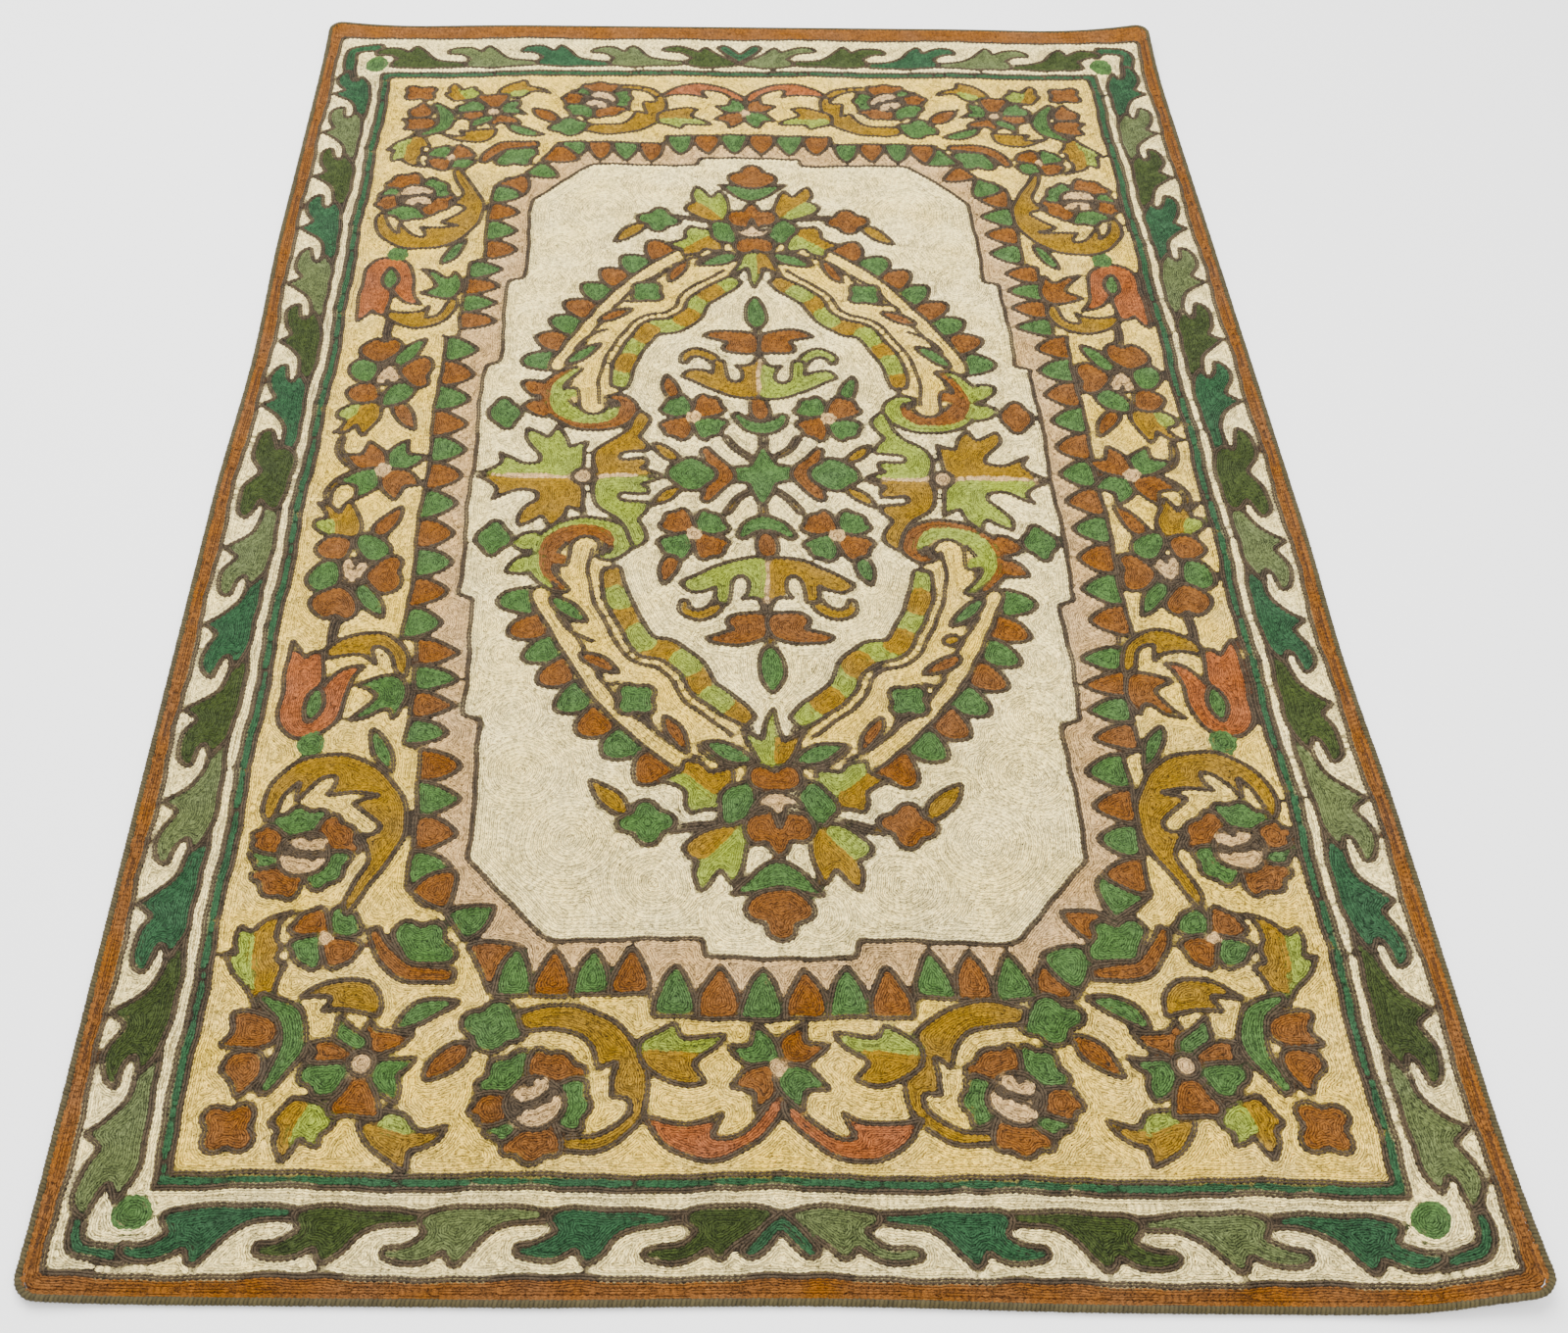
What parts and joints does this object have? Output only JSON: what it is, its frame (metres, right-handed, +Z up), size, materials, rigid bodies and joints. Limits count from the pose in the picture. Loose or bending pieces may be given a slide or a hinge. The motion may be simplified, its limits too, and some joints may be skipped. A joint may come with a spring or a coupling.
{
  "type": "suzani kilim floor rug",
  "caption": "Rectangular wool chain-stitch floor rug with a floral medallion, toothed field and leaf border, edges overcast by hand.",
  "frame": {"origin": "on the floor, under the middle of the rug", "axes": "+Y along the rug's length, away from the viewer; +X to the right across its width; +Z up through its worked face"},
  "size_m": [0.91, 1.44, 0.0164],
  "materials": {
    "embroidery": "matt hand-spun wool worked in close rows of chain stitch on cotton canvas",
    "edge_yarn": "matt grey-brown wool yarn, overcast by hand"
  },
  "bodies": {
    "root": {"worked_cloth": "embroidery", "overcast_edge_right": "edge_yarn", "overcast_edge_back": "edge_yarn", "overcast_edge_left": "edge_yarn", "overcast_edge_front": "edge_yarn"}
  },
  "joints": []
}
